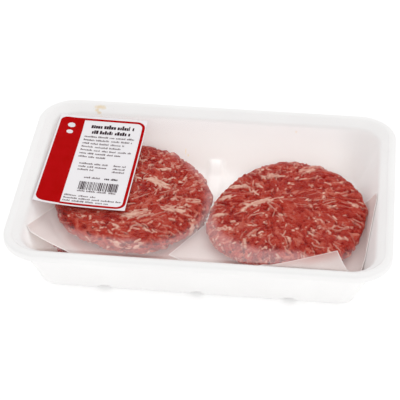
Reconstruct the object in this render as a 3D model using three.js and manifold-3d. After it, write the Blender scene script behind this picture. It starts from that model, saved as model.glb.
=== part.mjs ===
// A sealed tray of four burger patties, stacked two by two between squares of paper.
// Millimetres, +Z up, +X along the long side, the front long side towards -Y.
// The origin is the middle of the tray's underside, on the surface it stands on.
import * as THREE from 'three';
import { mergeVertices } from 'three/addons/utils/BufferGeometryUtils.js';
import Module from 'manifold-3d';

const wasm = await Module();
wasm.setup();

// Tray
const TRAY_LENGTH = 243;
const TRAY_DEPTH = 172.8;
const TRAY_HEIGHT = 41.7;
const RIM_CORNER_RADIUS = 25.3;
const LIP_HEIGHT = 5.5;
const CREST_INSET = 3.2;
const FLANGE_WIDTH = 10;
const FLANGE_DROP = 4.1;
const FLANGE_CURVE = 1.15;
const WALL_TOP_INSET = 8.1;
const WALL_FOOT_INSET = 21.9;
const BASE_CORNER_RADIUS = 10;
const BASE_FILLET = 3.8;
const FLOOR_CORNER_RADIUS = 3;
const SHELL_THICKNESS = 3.2;
const CORNER_STEPS = 9;
const LONG_SIDE_STEPS = 3;
const SHORT_SIDE_STEPS = 2;

// Ribs pressed up across the tray's bottom
const RIB_SPACING = 58.7;
const RIB_COUNT = 3;
const GROOVE_WIDTH = 8.7;
const GROOVE_DEPTH = 3.7;

// Patties: an even section, the heights they lie at, and the crags in their skin
const PATTY_THICKNESS = 12.2;
const PATTY_SQUARENESS = 3.4;
const PATTY_TOP_SHARE = 0.84;
const PATTY_EDGE_SHARE = 0.9;
const PATTY_SIDE_TURNS = [48, 66, 90, 112];
const PATTY_UNDER_SHARES = [0.8, 0.4];
const PATTY_DOME = 0.5;
const LOWER_PATTY_BOTTOM = 7.2;
const UPPER_LEFT_BOTTOM = 20.4;
const UPPER_RIGHT_BOTTOM = 21.2;
const CRAG_DEPTH = 1.1;
const CRAG_SIZE = 6.5;
const CRAG_SHARE_BELOW = 0.3;

// The upper layer droops behind the lower patties, which lie nearer the front.
const DROOP = 3.2;
const DROOP_START_Y = 18;
const DROOP_END_Y = 52;

// Squares of paper, each from its corners as they would lie flat: left, front, right, back
const PAPER_LEFT_CORNERS = [[-118.6, -49.5], [-11, -73.4], [1, 10], [-71.5, 50]];
const PAPER_RIGHT_CORNERS = [[-19, -51.5], [87, -108.6], [121.8, 4.6], [38.5, 44]];
const PAPER_THICKNESS = 0.35;
const PAPER_LEFT_HEIGHT = 19.75;
const PAPER_RIGHT_HEIGHT = 20.5;
const PAPER_STEPS = 15;
const PAPER_WAVE = 0.12;
const PAPER_FOOT_RADIUS = 8;
const PAPER_CURL_RADIUS = 2.6;
const PAPER_CURL_RISE = 12.5;
const PAPER_WALL_GAP = 1;
const PAPER_FILM_GAP = 0.7;
const PAPER_RUN_STEP = 0.5;

// The left paper's free corner stands up from the meat, like a ramp to the tray's corner.
const RAMP_SLOPE = 0.6;
const RAMP_START = 6;
const RAMP_FROM_X = -70;
const RAMP_FULL_X = -85;

// Where the upper left patty lies
const UPPER_LEFT_PLACE = { centreX: -47.6, centreY: -0.2, halfX: 49.8, halfY: 57.9 };

// Film over the top, sealed on the flange inside the crest
const FILM_THICKNESS = 0.3;
const FILM_SEAL_INSET = 4.9;
const FILM_GAP = 0.3;
const FILM_SAG = 4.1;
const FILM_SAG_REACH = 17;
const FILM_RINGS = 9;
const FILM_RING_REACH = 0.92;
const FILM_RING_CROWDING = 1.5;

// Label, stuck on the film over the left patty
const LABEL_WIDTH = 60;
const LABEL_HEIGHT = 97.6;
const LABEL_THICKNESS = 0.25;
const LABEL_CENTRE_X = -79;
const LABEL_CENTRE_Y = 22;
const LABEL_TURN = -1.3;
const LABEL_STEPS_X = 6;
const LABEL_STEPS_Y = 10;

// Height of the flange's inner edge, and how far the inner wall leans in for each mm down.
const FLANGE_INNER_Z = TRAY_HEIGHT - FLANGE_DROP;
const WALL_LEAN = (WALL_FOOT_INSET - WALL_TOP_INSET) / (TRAY_HEIGHT - LIP_HEIGHT - BASE_FILLET);
const WALL_INNER_TOP_INSET = FLANGE_WIDTH + 1.3;
const WALL_INNER_TOP_Z = FLANGE_INNER_Z - 1.8;
const RADIUS_LOSS = (RIM_CORNER_RADIUS - WALL_TOP_INSET - BASE_CORNER_RADIUS)
  / (WALL_FOOT_INSET - WALL_TOP_INSET);

// Corner radius of a level ring that lies a given inset inside the rim's outer edge.
function cornerRadius(inset) {
  const onFlange = RIM_CORNER_RADIUS - Math.min(inset, WALL_TOP_INSET);
  const onWall = Math.max(inset - WALL_TOP_INSET, 0) * RADIUS_LOSS;
  return Math.max(onFlange - onWall, FLOOR_CORNER_RADIUS);
}

// Inset of the tray's inner wall at a height.
function innerWallInset(z) {
  return WALL_INNER_TOP_INSET + (WALL_INNER_TOP_Z - z) * WALL_LEAN;
}

// One level ring: a rounded rectangle, counter-clockwise, always with the same number of points.
function ring(inset, z) {
  const halfX = TRAY_LENGTH / 2 - inset;
  const halfY = TRAY_DEPTH / 2 - inset;
  const radius = cornerRadius(inset);
  const corners = [[1, 1], [-1, 1], [-1, -1], [1, -1]];
  const points = [];
  corners.forEach(([sideX, sideY], index) => {
    for (let step = 0; step <= CORNER_STEPS; step += 1) {
      const angle = (index + step / CORNER_STEPS) * Math.PI / 2;
      const x = sideX * (halfX - radius) + radius * Math.cos(angle);
      const y = sideY * (halfY - radius) + radius * Math.sin(angle);
      points.push(new THREE.Vector3(x, y, z));
    }
    const [nextX, nextY] = corners[(index + 1) % 4];
    const nextAngle = (index + 1) * Math.PI / 2;
    const start = points[points.length - 1];
    const end = new THREE.Vector3(
      nextX * (halfX - radius) + radius * Math.cos(nextAngle),
      nextY * (halfY - radius) + radius * Math.sin(nextAngle),
      z,
    );
    const steps = index % 2 === 0 ? LONG_SIDE_STEPS : SHORT_SIDE_STEPS;
    for (let step = 1; step < steps; step += 1) {
      points.push(start.clone().lerp(end, step / steps));
    }
  });
  return points;
}

// A closed skin through rings of equal length, from the centre of the first to that of the last.
function loft(rings, firstCentre, lastCentre) {
  const count = rings[0].length;
  const vertices = [firstCentre, ...rings.flat(), lastCentre];
  const last = vertices.length - 1;
  const triangles = [];
  for (let i = 0; i < count; i += 1) {
    const next = (i + 1) % count;
    triangles.push(0, 1 + next, 1 + i);
    for (let level = 0; level < rings.length - 1; level += 1) {
      const low = 1 + level * count;
      const high = low + count;
      triangles.push(low + i, low + next, high + next);
      triangles.push(low + i, high + next, high + i);
    }
    triangles.push(last, last - count + i, last - count + next);
  }
  return toGeometry(vertices, triangles);
}

function toGeometry(vertices, triangles) {
  const geometry = new THREE.BufferGeometry();
  geometry.setFromPoints(vertices);
  geometry.setIndex(triangles);
  return geometry;
}

function toManifold(geometry) {
  const bare = new THREE.BufferGeometry();
  bare.setAttribute('position', geometry.getAttribute('position'));
  bare.setIndex(geometry.getIndex());
  const merged = mergeVertices(bare, 0.0001);
  const vertProperties = new Float32Array(merged.getAttribute('position').array);
  const triVerts = new Uint32Array(merged.getIndex().array);
  return new wasm.Manifold(new wasm.Mesh({ numProp: 3, vertProperties, triVerts }));
}

function fromManifold(solid) {
  const mesh = solid.getMesh();
  const geometry = new THREE.BufferGeometry();
  geometry.setAttribute('position', new THREE.BufferAttribute(new Float32Array(mesh.vertProperties), 3));
  geometry.setIndex(new THREE.BufferAttribute(new Uint32Array(mesh.triVerts), 1));
  return geometry;
}

function material(colour, roughness) {
  return new THREE.MeshStandardMaterial({ color: colour, roughness, metalness: 0 });
}

// The tray's shell: up the outside, under and round the rolled rim, down the inside.
function trayShell() {
  const underLip = TRAY_HEIGHT - LIP_HEIGHT;
  const crest = TRAY_HEIGHT;
  const rings = [];
  const filletSteps = 3;
  for (let step = filletSteps; step >= 0; step -= 1) {
    const turn = step / filletSteps * Math.PI / 2;
    const inset = WALL_FOOT_INSET + BASE_FILLET * (1 - Math.cos(turn));
    rings.push(ring(inset, BASE_FILLET * (1 - Math.sin(turn))));
  }
  rings.push(ring(WALL_TOP_INSET, underLip - 1.5));
  rings.push(ring(WALL_TOP_INSET - 0.9, underLip - 0.3));
  rings.push(ring(CREST_INSET + 0.9, underLip + 2));
  rings.push(ring(CREST_INSET, underLip + 1.6));
  rings.push(ring(CREST_INSET - 0.4, underLip + 0.2));
  rings.push(ring(CREST_INSET - 1.1, underLip));
  rings.push(ring(0.7, underLip));
  rings.push(ring(0, underLip + 0.7));
  rings.push(ring(0, crest - 1.8));
  rings.push(ring(0.5, crest - 0.7));
  rings.push(ring(1.7, crest - 0.1));
  rings.push(ring(CREST_INSET, crest));
  rings.push(ring(CREST_INSET + 0.8, flangeHeight(CREST_INSET + 0.8)));
  rings.push(ring(FLANGE_WIDTH - 0.8, flangeHeight(FLANGE_WIDTH - 0.8)));
  rings.push(ring(FLANGE_WIDTH + 0.4, FLANGE_INNER_Z - 0.4));
  rings.push(ring(WALL_INNER_TOP_INSET, WALL_INNER_TOP_Z));
  const floorEdge = innerWallInset(SHELL_THICKNESS);
  rings.push(ring(innerWallInset(SHELL_THICKNESS + 4), SHELL_THICKNESS + 4));
  rings.push(ring(floorEdge + 0.3, SHELL_THICKNESS + 1.4));
  rings.push(ring(floorEdge + 2.6, SHELL_THICKNESS + 0.2));
  rings.push(ring(floorEdge + 5, SHELL_THICKNESS));
  return loft(rings, new THREE.Vector3(0, 0, 0), new THREE.Vector3(0, 0, SHELL_THICKNESS));
}

// Top of the flange inside the crest, sloping down to its inner edge.
function flangeHeight(inset) {
  const along = (inset - CREST_INSET) / (FLANGE_WIDTH - CREST_INSET);
  return TRAY_HEIGHT - FLANGE_DROP * Math.min(Math.max(along, 0), 1) ** FLANGE_CURVE;
}

// A bar across the tray with rounded shoulders, as a rib or as the groove below it.
function crossBar(x, baseZ, topZ, baseWidth, topWidth, reach) {
  const half = baseWidth / 2;
  const top = topWidth / 2;
  const shape = new THREE.Shape();
  shape.moveTo(-half, baseZ - 1);
  shape.lineTo(half, baseZ - 1);
  shape.lineTo(half, baseZ);
  shape.quadraticCurveTo(top, baseZ, top, (baseZ + topZ) / 2);
  shape.quadraticCurveTo(top, topZ, top / 2, topZ);
  shape.lineTo(-top / 2, topZ);
  shape.quadraticCurveTo(-top, topZ, -top, (baseZ + topZ) / 2);
  shape.quadraticCurveTo(-top, baseZ, -half, baseZ);
  const bar = new THREE.ExtrudeGeometry(shape, { depth: 2 * reach, bevelEnabled: false, curveSegments: 3 });
  bar.rotateX(Math.PI / 2);
  bar.translate(x, reach, 0);
  const bare = new THREE.BufferGeometry();
  bare.setAttribute('position', bar.getAttribute('position'));
  const merged = mergeVertices(bare, 0.0001);
  return merged;
}

function makeTray() {
  let solid = toManifold(trayShell());
  const ribTop = SHELL_THICKNESS + GROOVE_DEPTH;
  const ribReach = TRAY_DEPTH / 2 - innerWallInset(ribTop) + 1.6;
  for (let index = 0; index < RIB_COUNT; index += 1) {
    const x = (index - (RIB_COUNT - 1) / 2) * RIB_SPACING;
    const groove = crossBar(x, 0, GROOVE_DEPTH, GROOVE_WIDTH, GROOVE_WIDTH - 3, TRAY_DEPTH / 2);
    const rib = crossBar(x, SHELL_THICKNESS, ribTop, GROOVE_WIDTH + 5, GROOVE_WIDTH + 1, ribReach);
    solid = solid.add(toManifold(rib)).subtract(toManifold(groove));
  }
  return fromManifold(solid);
}

// A repeatable value between 0 and 1 for a whole-number place.
function hash(ix, iy, iz) {
  const value = Math.sin(ix * 127.1 + iy * 311.7 + iz * 74.7) * 43758.5453;
  return value - Math.floor(value);
}

// Smooth noise between 0 and 1: lumps of ground meat about one unit across.
function lumps(x, y, z) {
  const cell = [Math.floor(x), Math.floor(y), Math.floor(z)];
  const part = [x - cell[0], y - cell[1], z - cell[2]].map((t) => t * t * (3 - 2 * t));
  let sum = 0;
  for (let corner = 0; corner < 8; corner += 1) {
    const step = [corner & 1, (corner >> 1) & 1, (corner >> 2) & 1];
    const weight = step.reduce((product, s, axis) => product * (s ? part[axis] : 1 - part[axis]), 1);
    sum += weight * hash(cell[0] + step[0], cell[1] + step[1], cell[2] + step[2]);
  }
  return sum;
}

function smoothStep(from, to, value) {
  const t = Math.min(Math.max((value - from) / (to - from), 0), 1);
  return t * t * (3 - 2 * t);
}

// How far the upper layer has sunk at a place towards the back.
function droopAt(y) {
  return DROOP * smoothStep(DROOP_START_Y, DROOP_END_Y, y);
}

// One patty: a squared-off disc with crags cut into its skin. Its outline is an ellipse made
// uneven by waves, each given as waves in the turn, share of the radius and phase.
function makePatty(patty) {
  const profile = [];
  for (let step = 1; step <= patty.topRings; step += 1) {
    profile.push([PATTY_TOP_SHARE * step / patty.topRings, 1]);
  }
  PATTY_SIDE_TURNS.forEach((degrees) => {
    const turn = THREE.MathUtils.degToRad(degrees);
    const across = Math.sin(turn) ** (2 / PATTY_SQUARENESS);
    profile.push([Math.max(across, PATTY_EDGE_SHARE), Math.sign(Math.cos(turn))]);
  });
  PATTY_UNDER_SHARES.forEach((across) => profile.push([across, -1]));
  const half = PATTY_THICKNESS / 2;
  const rings = profile.map(([across, side]) => {
    const points = [];
    for (let spoke = 0; spoke < patty.spokes; spoke += 1) {
      const angle = spoke / patty.spokes * 2 * Math.PI;
      points.push(pattyPoint(patty, across, side, angle, half));
    }
    return points;
  });
  rings.reverse();
  return loft(rings, pattyPoint(patty, 0, -1, 0, half), pattyPoint(patty, 0, 1, 0, half));
}

function pattyPoint(patty, across, side, angle, half) {
  const wobble = patty.waves.reduce(
    (sum, [count, share, phase]) => sum + share * Math.sin(count * angle + phase),
    0,
  );
  const reach = across * (1 + wobble);
  const level = side * Math.max(1 - across ** PATTY_SQUARENESS, 0) ** (1 / PATTY_SQUARENESS);
  const x = reach * patty.halfX * Math.cos(angle);
  const y = reach * patty.halfY * Math.sin(angle);
  const z = half * (1 + level);
  const crag = lumps(x / CRAG_SIZE + patty.seed * 9, y / CRAG_SIZE, z / CRAG_SIZE)
    + 0.5 * lumps(x * 2 / CRAG_SIZE, y * 2 / CRAG_SIZE + patty.seed * 5, z * 2 / CRAG_SIZE);
  const cut = CRAG_DEPTH * (1.5 - crag) * (side < 0 && across < PATTY_EDGE_SHARE ? CRAG_SHARE_BELOW : 1);
  const sideways = 1 - 1.5 * cut * across ** 6 / patty.halfX;
  const droop = patty.onTop ? droopAt(patty.centreY + y * sideways) : 0;
  const dome = (1 - across ** 2) * (side > 0 ? PATTY_DOME : 0);
  const height = z - Math.sign(level) * cut * Math.abs(level) + dome - PATTY_DOME - droop;
  return new THREE.Vector3(
    patty.centreX + x * sideways,
    patty.centreY + y * sideways,
    patty.bottom + Math.max(height, -droop),
  );
}

// Underside of the film: flat over the patties, rising to the seal on the flange.
function filmHeight(x, y) {
  const inside = distanceInside(x, y, FLANGE_WIDTH);
  if (inside <= 0) {
    return flangeHeight(FLANGE_WIDTH + inside) + FILM_GAP;
  }
  return FLANGE_INNER_Z + FILM_GAP - FILM_SAG * (1 - Math.exp(-inside / FILM_SAG_REACH));
}

// Distance from a point in to the ring at an inset, negative outside it.
function distanceInside(x, y, inset) {
  const radius = cornerRadius(inset);
  const acrossX = Math.abs(x) - (TRAY_LENGTH / 2 - inset - radius);
  const acrossY = Math.abs(y) - (TRAY_DEPTH / 2 - inset - radius);
  const outside = Math.hypot(Math.max(acrossX, 0), Math.max(acrossY, 0));
  return radius - outside - Math.min(Math.max(acrossX, acrossY), 0);
}

function makeFilm() {
  const insets = [FILM_SEAL_INSET, (FILM_SEAL_INSET + FLANGE_WIDTH) / 2, FLANGE_WIDTH];
  for (let step = 1; step <= FILM_RINGS; step += 1) {
    const along = (step / FILM_RINGS) ** FILM_RING_CROWDING;
    insets.push(FLANGE_WIDTH + FILM_RING_REACH * (TRAY_DEPTH / 2 - FLANGE_WIDTH) * along);
  }
  const lay = (lift) => insets.map((inset) => ring(inset, 0).map(
    (point) => new THREE.Vector3(point.x, point.y, filmHeight(point.x, point.y) + lift),
  ));
  const rings = [...lay(0).reverse(), ...lay(FILM_THICKNESS)];
  const middle = filmHeight(0, 0);
  return loft(rings, new THREE.Vector3(0, 0, middle), new THREE.Vector3(0, 0, middle + FILM_THICKNESS));
}

// A thin solid from a grid of points, both faces split into triangles alike.
function thinSolid(place, stepsU, stepsV, thickness) {
  const low = [];
  const high = [];
  for (let v = 0; v <= stepsV; v += 1) {
    for (let u = 0; u <= stepsU; u += 1) {
      const here = place(u / stepsU, v / stepsV);
      const alongU = place((u + 0.05) / stepsU, v / stepsV).sub(place((u - 0.05) / stepsU, v / stepsV));
      const alongV = place(u / stepsU, (v + 0.05) / stepsV).sub(place(u / stepsU, (v - 0.05) / stepsV));
      const normal = alongU.cross(alongV).normalize().multiplyScalar(thickness / 2);
      low.push(here.clone().sub(normal));
      high.push(here.clone().add(normal));
    }
  }
  const row = stepsU + 1;
  const count = low.length;
  const triangles = [];
  for (let v = 0; v < stepsV; v += 1) {
    for (let u = 0; u < stepsU; u += 1) {
      const a = v * row + u;
      const [b, c, d] = [a + 1, a + row + 1, a + row];
      triangles.push(a, c, b, a, d, c);
      triangles.push(count + a, count + b, count + c, count + a, count + c, count + d);
    }
  }
  const edge = [];
  for (let u = 0; u < stepsU; u += 1) {
    edge.push(u);
  }
  for (let v = 0; v < stepsV; v += 1) {
    edge.push(v * row + stepsU);
  }
  for (let u = stepsU; u > 0; u -= 1) {
    edge.push(stepsV * row + u);
  }
  for (let v = stepsV; v > 0; v -= 1) {
    edge.push(v * row);
  }
  edge.forEach((from, index) => {
    const to = edge[(index + 1) % edge.length];
    triangles.push(from, to, count + to, from, count + to, count + from);
  });
  return toGeometry([...low, ...high], triangles);
}

// Where paper lands that runs out level for a distance: past the wall's foot it turns up the wall,
// and near the film it curls back over the meat. Gives the distance out and the rise.
function foldUp(distance, foot) {
  const wallAngle = Math.atan2(1, WALL_LEAN);
  const footTurn = PAPER_FOOT_RADIUS * wallAngle;
  const start = foot - PAPER_FOOT_RADIUS * Math.tan(wallAngle / 2);
  const curlStart = start + footTurn + PAPER_CURL_RISE;
  const curlEnd = curlStart + PAPER_CURL_RADIUS * (Math.PI - wallAngle);
  let out = Math.min(distance, start);
  let rise = 0;
  for (let run = start; run < distance; run += PAPER_RUN_STEP) {
    const length = Math.min(PAPER_RUN_STEP, distance - run);
    const turned = Math.min(run - start, footTurn) / PAPER_FOOT_RADIUS;
    const curled = Math.min(Math.max(run - curlStart, 0), curlEnd - curlStart) / PAPER_CURL_RADIUS;
    out += length * Math.cos(turned + curled);
    rise += length * Math.sin(turned + curled);
  }
  return [out, rise];
}

// How far the left paper's free corner rises at a place outside the upper left patty.
function rampRise(x, y) {
  const { centreX, centreY, halfX, halfY } = UPPER_LEFT_PLACE;
  const share = Math.hypot((x - centreX) / halfX, (y - centreY) / halfY);
  const outside = (share - 1) * (halfX + halfY) / 2;
  return RAMP_SLOPE * Math.max(outside - RAMP_START, 0) * smoothStep(-RAMP_FROM_X, -RAMP_FULL_X, -x);
}

// Brings a place back inside the round corner of the tray's inner wall.
function offCorner(x, y, z) {
  const inset = innerWallInset(Math.min(z, WALL_INNER_TOP_Z)) + PAPER_WALL_GAP;
  const radius = cornerRadius(inset);
  const centreX = TRAY_LENGTH / 2 - inset - radius;
  const centreY = TRAY_DEPTH / 2 - inset - radius;
  const pastX = Math.abs(x) - centreX;
  const pastY = Math.abs(y) - centreY;
  if (pastX <= 0 || pastY <= 0) {
    return [x, y];
  }
  const share = Math.min(radius / Math.hypot(pastX, pastY), 1);
  return [Math.sign(x) * (centreX + pastX * share), Math.sign(y) * (centreY + pastY * share)];
}

// One square of paper, folded up where it meets the tray's walls.
function makePaper(corners, height, seed) {
  const [left, front, right, back] = corners.map(([x, y]) => new THREE.Vector2(x, y));
  const footInset = innerWallInset(height);
  const footX = TRAY_LENGTH / 2 - footInset - PAPER_WALL_GAP;
  const footY = TRAY_DEPTH / 2 - footInset - PAPER_WALL_GAP;
  const place = (u, v) => {
    const near = left.clone().lerp(front, u);
    const far = back.clone().lerp(right, u);
    const flat = near.lerp(far, v);
    const [outX, riseX] = foldUp(Math.abs(flat.x), footX);
    const [outY, riseY] = foldUp(Math.abs(flat.y), footY);
    const x = Math.sign(flat.x) * outX;
    const y = Math.sign(flat.y) * outY;
    const wave = PAPER_WAVE * (Math.sin(flat.x / 9 + seed) + Math.sin(flat.y / 7 + 2 * seed));
    const raised = height + Math.max(riseX, riseY, rampRise(x, y)) + wave - droopAt(y);
    const z = Math.min(raised, filmHeight(x, y) - PAPER_FILM_GAP);
    return new THREE.Vector3(...offCorner(x, y, z), z);
  };
  return thinSolid(place, PAPER_STEPS, PAPER_STEPS, PAPER_THICKNESS);
}

function makeLabel() {
  const turn = THREE.MathUtils.degToRad(LABEL_TURN);
  const place = (u, v) => {
    const across = (u - 0.5) * LABEL_WIDTH;
    const up = (v - 0.5) * LABEL_HEIGHT;
    const x = LABEL_CENTRE_X + across * Math.cos(turn) - up * Math.sin(turn);
    const y = LABEL_CENTRE_Y + across * Math.sin(turn) + up * Math.cos(turn);
    return new THREE.Vector3(x, y, filmHeight(x, y) + FILM_THICKNESS + FILM_GAP + LABEL_THICKNESS);
  };
  return thinSolid(place, LABEL_STEPS_X, LABEL_STEPS_Y, LABEL_THICKNESS);
}

const pack = new THREE.Group();

function addPiece(name, geometry, surface) {
  const mesh = new THREE.Mesh(geometry, surface);
  mesh.name = name;
  pack.add(mesh);
}

const foam = material(0xf4f4f3, 0.6);
const rawMeat = material(0x9e1a12, 0.45);
const paper = material(0xe9dcd8, 0.7);
const clearFilm = material(0xdfe3e6, 0.15);
const labelStock = material(0xf6f4f5, 0.4);

const upperPatty = { topRings: 9, spokes: 44, onTop: true };
const lowerPatty = { topRings: 5, spokes: 32, onTop: false };

addPiece('tray', makeTray(), foam);
addPiece('lower_patty_left', makePatty({
  ...lowerPatty, seed: 1, bottom: LOWER_PATTY_BOTTOM,
  centreX: -51.5, centreY: -14.2, halfX: 51, halfY: 49.5,
  waves: [[3, 0.018, 1], [5, 0.012, 2]],
}), rawMeat);
addPiece('lower_patty_right', makePatty({
  ...lowerPatty, seed: 2, bottom: LOWER_PATTY_BOTTOM,
  centreX: 52, centreY: -13.4, halfX: 49, halfY: 49,
  waves: [[3, 0.018, 2], [5, 0.012, 4]],
}), rawMeat);
addPiece('paper_left', makePaper(PAPER_LEFT_CORNERS, PAPER_LEFT_HEIGHT, 1), paper);
addPiece('paper_right', makePaper(PAPER_RIGHT_CORNERS, PAPER_RIGHT_HEIGHT, 2), paper);
addPiece('upper_patty_left', makePatty({
  ...upperPatty, ...UPPER_LEFT_PLACE, seed: 3, bottom: UPPER_LEFT_BOTTOM,
  waves: [[2, 0.013, 2.93], [3, 0.027, 2.87], [4, 0.015, 0.4], [5, 0.015, 2.1]],
}), rawMeat);
addPiece('upper_patty_right', makePatty({
  ...upperPatty, seed: 4, bottom: UPPER_RIGHT_BOTTOM,
  centreX: 54.5, centreY: -10.8, halfX: 51.8, halfY: 56.9,
  waves: [[2, 0.036, 5.59], [3, 0.048, 3.51], [4, 0.024, 6.16], [5, 0.013, 0.35]],
}), rawMeat);
addPiece('lid_film', makeFilm(), clearFilm);
addPiece('label', makeLabel(), labelStock);

export default pack;
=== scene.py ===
# A sealed tray of four burger patties, stacked two by two between squares of paper.
# Sizes in the sections are in millimetres, and MM turns them into Blender's metres.
import math

import bpy
import numpy as np
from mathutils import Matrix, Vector
from mathutils.bvhtree import BVHTree


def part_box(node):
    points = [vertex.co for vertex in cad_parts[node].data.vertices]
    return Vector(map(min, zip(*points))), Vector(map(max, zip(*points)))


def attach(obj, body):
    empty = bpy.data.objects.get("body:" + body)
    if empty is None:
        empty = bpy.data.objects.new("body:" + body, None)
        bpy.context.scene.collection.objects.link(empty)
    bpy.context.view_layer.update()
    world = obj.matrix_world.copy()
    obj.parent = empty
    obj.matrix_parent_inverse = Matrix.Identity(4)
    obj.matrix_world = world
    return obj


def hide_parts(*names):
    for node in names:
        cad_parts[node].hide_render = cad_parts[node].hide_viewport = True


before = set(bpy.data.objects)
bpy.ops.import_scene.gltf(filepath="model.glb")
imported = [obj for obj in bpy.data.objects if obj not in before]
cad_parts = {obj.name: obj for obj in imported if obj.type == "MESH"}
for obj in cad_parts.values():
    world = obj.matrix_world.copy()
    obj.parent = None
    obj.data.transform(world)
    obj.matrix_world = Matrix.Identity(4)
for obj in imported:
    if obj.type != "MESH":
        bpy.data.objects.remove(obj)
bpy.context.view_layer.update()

# Camera
# It looks down on the front long side of the tray, a little from the right. Its place and aim are
# in metres.
CAMERA_PLACE = (0.0888, -0.8843, 0.7069)
CAMERA_AIM = (-0.0833, 0.7897, -0.6078)
CAMERA_LENS = 154.2
SENSOR_WIDTH = 36
NEAREST_SEEN = 0.01


def new_object(name, data):
    """Puts a new object in the scene."""
    made = bpy.data.objects.new(name, data)
    bpy.context.scene.collection.objects.link(made)
    return made


camera_data = bpy.data.cameras.new("camera")
camera_data.sensor_width = SENSOR_WIDTH
camera_data.lens = CAMERA_LENS
camera_data.clip_start = NEAREST_SEEN
camera = new_object("camera", camera_data)
camera.location = CAMERA_PLACE
camera.rotation_euler = Vector(CAMERA_AIM).to_track_quat("-Z", "Y").to_euler()
bpy.context.scene.camera = camera


# Floor and light
# A white sheet under the tray, a white room round it, and a soft lamp high behind it. The lamp's
# place and size are in metres.
MM = 0.001
WHITE = (1, 1, 1, 1)
FLOOR_SIZE = 6000
FLOOR_WHITES = ((0, (0.9, 0.9, 0.9)), (1, (0.94, 0.94, 0.94)))
FLOOR_GLOW = 0.24
ROOM_BRIGHTNESS = 0.87
LAMP_POWER = 1.9
LAMP_SIZE = 0.7
LAMP_PLACE = (0.5, 0.6, 1.3)


def fill(made, inputs):
    """Sets inputs of a node; each takes a value or another node's output."""
    for key, value in inputs.items():
        if isinstance(value, bpy.types.NodeSocket):
            made.id_data.links.new(value, made.inputs[key])
        else:
            made.inputs[key].default_value = value


def node(tree, kind, inputs=None, **settings):
    """Adds a shader node, with its settings and its inputs."""
    made = tree.nodes.new("ShaderNode" + kind)
    for key, value in settings.items():
        setattr(made, key, value)
    fill(made, inputs or {})
    return made


def new_material(name):
    """An empty material: its node tree and its Principled shader."""
    made = bpy.data.materials.new(name)
    made.use_nodes = True
    return made, made.node_tree, made.node_tree.nodes["Principled BSDF"]


def colour_steps(tree, factor, steps):
    """A colour ramp: steps are (position, (red, green, blue))."""
    ramp = node(tree, "ValToRGB", {"Fac": factor})
    elements = ramp.color_ramp.elements
    while len(elements) < len(steps):
        elements.new(0.5)
    for element, (position, colour) in zip(elements, steps):
        element.position = position
        element.color = (*colour, 1)
    return ramp.outputs["Color"]


def mix_colour(tree, factor, under, over):
    """Lays a plain colour over another one, as far as the factor says."""
    mix = node(tree, "Mix", {"Factor": factor}, data_type="RGBA")
    tree.links.new(under, mix.inputs["A"])
    mix.inputs["B"].default_value = (*over, 1)
    return mix.outputs["Result"]


world = bpy.data.worlds.new("room")
world.use_nodes = True
fill(world.node_tree.nodes["Background"], {"Color": WHITE, "Strength": ROOM_BRIGHTNESS})
bpy.context.scene.world = world
bpy.context.scene.view_settings.view_transform = "Standard"

lamp_data = bpy.data.lights.new("lamp", "AREA")
lamp_data.size = LAMP_SIZE
lamp_data.energy = LAMP_POWER
lamp = new_object("lamp", lamp_data)
lamp.location = LAMP_PLACE
lamp.rotation_euler = (-Vector(LAMP_PLACE)).to_track_quat("-Z", "Y").to_euler()

floor_material, floor_tree, floor_shader = new_material("white_floor")
floor_grain = node(floor_tree, "TexNoise", {"Scale": 400.0, "Detail": 2.0})
fill(floor_shader, {
    "Base Color": colour_steps(floor_tree, floor_grain.outputs["Fac"], FLOOR_WHITES),
    "Roughness": 0.9, "Emission Color": WHITE, "Emission Strength": FLOOR_GLOW,
})

floor_mesh = bpy.data.meshes.new("floor")
floor_edge = FLOOR_SIZE / 2 * MM
floor_corners = [(x * floor_edge, y * floor_edge, 0) for x, y in ((-1, -1), (1, -1), (1, 1), (-1, 1))]
floor_mesh.from_pydata(floor_corners, [], [(0, 1, 2, 3)])
floor_mesh.materials.append(floor_material)
floor = new_object("floor", floor_mesh)

# Tray
# White foamed plastic, pressed hot from sheet: a rolled rim, a flange that slopes down inside its
# crest, leaning walls, and three ribs pressed up across the bottom. Stains mark the flange and wall.
# A painted warm glow lights the inside low down and fades out towards the right wall, and painted
# shade greys the line along the foot and round the groove arches.
tray_low, tray_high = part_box("tray")
TRAY_HALF_X = (tray_high.x - tray_low.x) / 2 / MM
TRAY_HALF_Y = (tray_high.y - tray_low.y) / 2 / MM
TRAY_HEIGHT = tray_high.z / MM
RIM_CORNER_RADIUS = 25.3
LIP_HEIGHT = 5.5
CREST_INSET = 3.2
FLANGE_WIDTH = 10
FLANGE_DROP = 4.1
FLANGE_BEND = 1.15
FLANGE_EDGE_INSET = 1.3
FLANGE_EDGE_DROP = 1.8
WALL_TOP_INSET = 8.1
WALL_FOOT_INSET = 21.9
BASE_CORNER_RADIUS = 10
BASE_FILLET = 3.8
SHELL_THICKNESS = 3.2
FLOOR_CORNER_RADIUS = 3
FLANGE_INNER_Z = TRAY_HEIGHT - FLANGE_DROP
WALL_LEAN = (WALL_FOOT_INSET - WALL_TOP_INSET) / (TRAY_HEIGHT - LIP_HEIGHT - BASE_FILLET)
WALL_INNER_TOP_INSET = FLANGE_WIDTH + FLANGE_EDGE_INSET
WALL_INNER_TOP_Z = FLANGE_INNER_Z - FLANGE_EDGE_DROP
WALL_TOP_RADIUS = RIM_CORNER_RADIUS - WALL_TOP_INSET
RADIUS_LOSS = (WALL_TOP_RADIUS - BASE_CORNER_RADIUS) / (WALL_FOOT_INSET - WALL_TOP_INSET)
RIB_SPACING = 58.7
RIB_WIDTH = 13.7
RIB_SHOULDER = 3.4
RIB_CLIMB = 5.5
CLIMB_START, CLIMB_END = -9, 1
GROOVE_WIDTH = 8.7
GROOVE_DEPTH = 3.7
GROOVE_SHOULDER = 2.2
MIDDLE_GAP = 0.6
TRAY_CORNER_STEPS = 20
TRAY_LONG_STEPS = 96
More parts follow.
